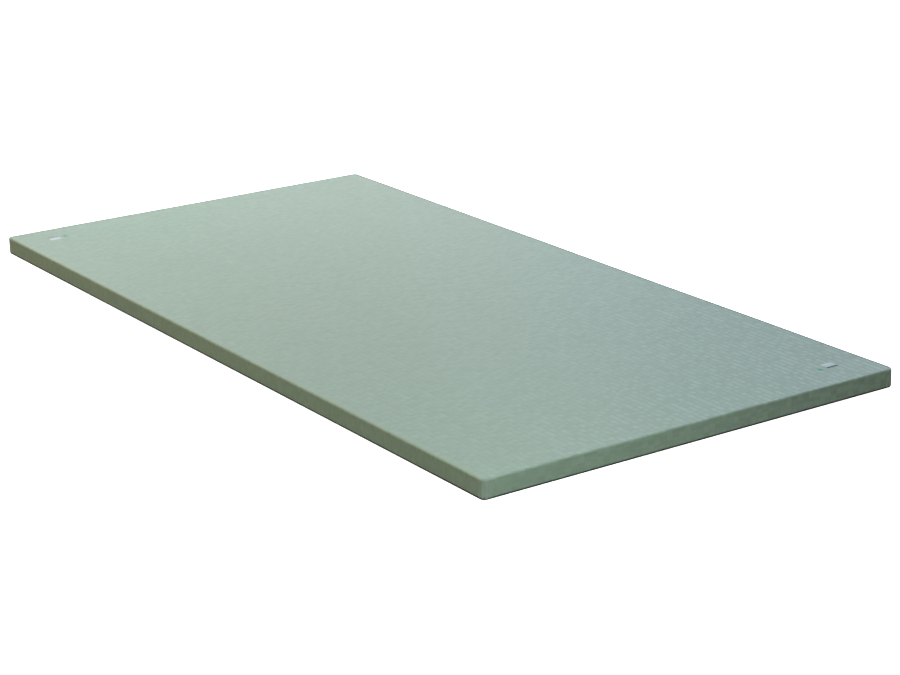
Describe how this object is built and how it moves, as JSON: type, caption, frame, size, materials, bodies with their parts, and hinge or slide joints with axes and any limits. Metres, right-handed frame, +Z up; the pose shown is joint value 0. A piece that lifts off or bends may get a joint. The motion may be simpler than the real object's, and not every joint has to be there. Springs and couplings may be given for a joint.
{
  "type": "judo mat",
  "caption": "Rectangular tatami judo mat: foam slab in a folded vinyl cover with a rice-straw texture, on a dark non-slip rubber base, with blank patches by opposite corners.",
  "frame": {"origin": "on the floor, under the middle of the mat", "axes": "+X along the length, +Y across the width, +Z up through the thickness"},
  "size_m": [2, 1, 0.0408],
  "materials": {
    "vinyl": "sage green coated vinyl, satin, embossed with a rice-straw pattern",
    "foam": "rebonded foam, grey with mixed flecks",
    "rubber": "black waffle-textured rubber, matte",
    "label_silver": "silver-grey blank patch, satin",
    "tab_teal": "teal blank patch, satin"
  },
  "bodies": {
    "root": {"foam_core": "foam", "cover": "vinyl", "anti_slip_base": "rubber", "label_patch_right": "label_silver", "label_patch_left": "label_silver", "label_tab_right": "tab_teal", "label_tab_left": "tab_teal"}
  },
  "joints": []
}
